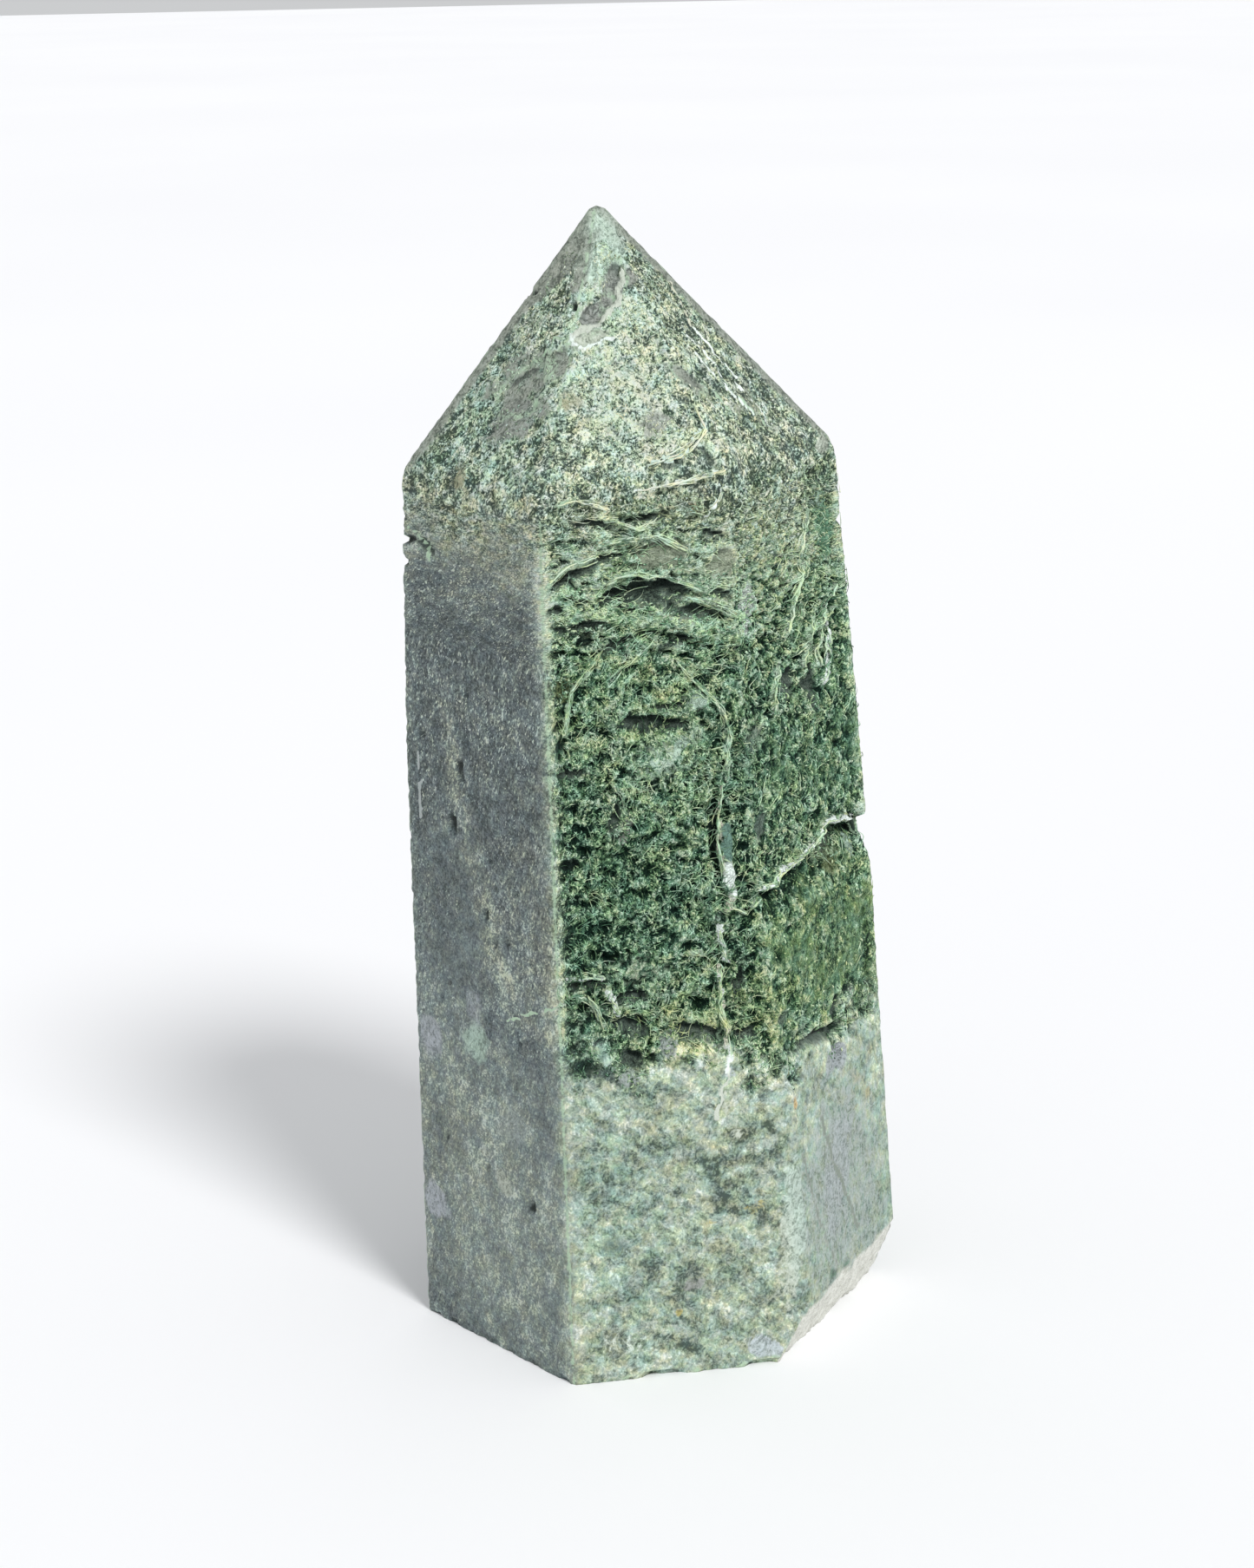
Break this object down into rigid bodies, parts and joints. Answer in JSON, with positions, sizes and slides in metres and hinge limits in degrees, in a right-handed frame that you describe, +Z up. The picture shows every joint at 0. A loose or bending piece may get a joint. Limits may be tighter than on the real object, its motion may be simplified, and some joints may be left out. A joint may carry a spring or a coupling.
{
  "type": "moss agate tower",
  "caption": "Free-standing moss agate tower: one stone ground to six tapering sides and a six-sided point, with a rough mossy middle and a broken foot corner.",
  "frame": {"origin": "middle of the base's bounding box, on the surface that the tower stands on", "axes": "+Z up along the tower towards its point; the front of the stone looks along -Y"},
  "size_m": [0.0387, 0.0317, 0.0893],
  "materials": {
    "moss_agate": "dull ground polish on dark grey-green stone, with rough mossy green and pale grey-green patches"
  },
  "bodies": {
    "root": {"agate_tower": "moss_agate"}
  },
  "joints": []
}
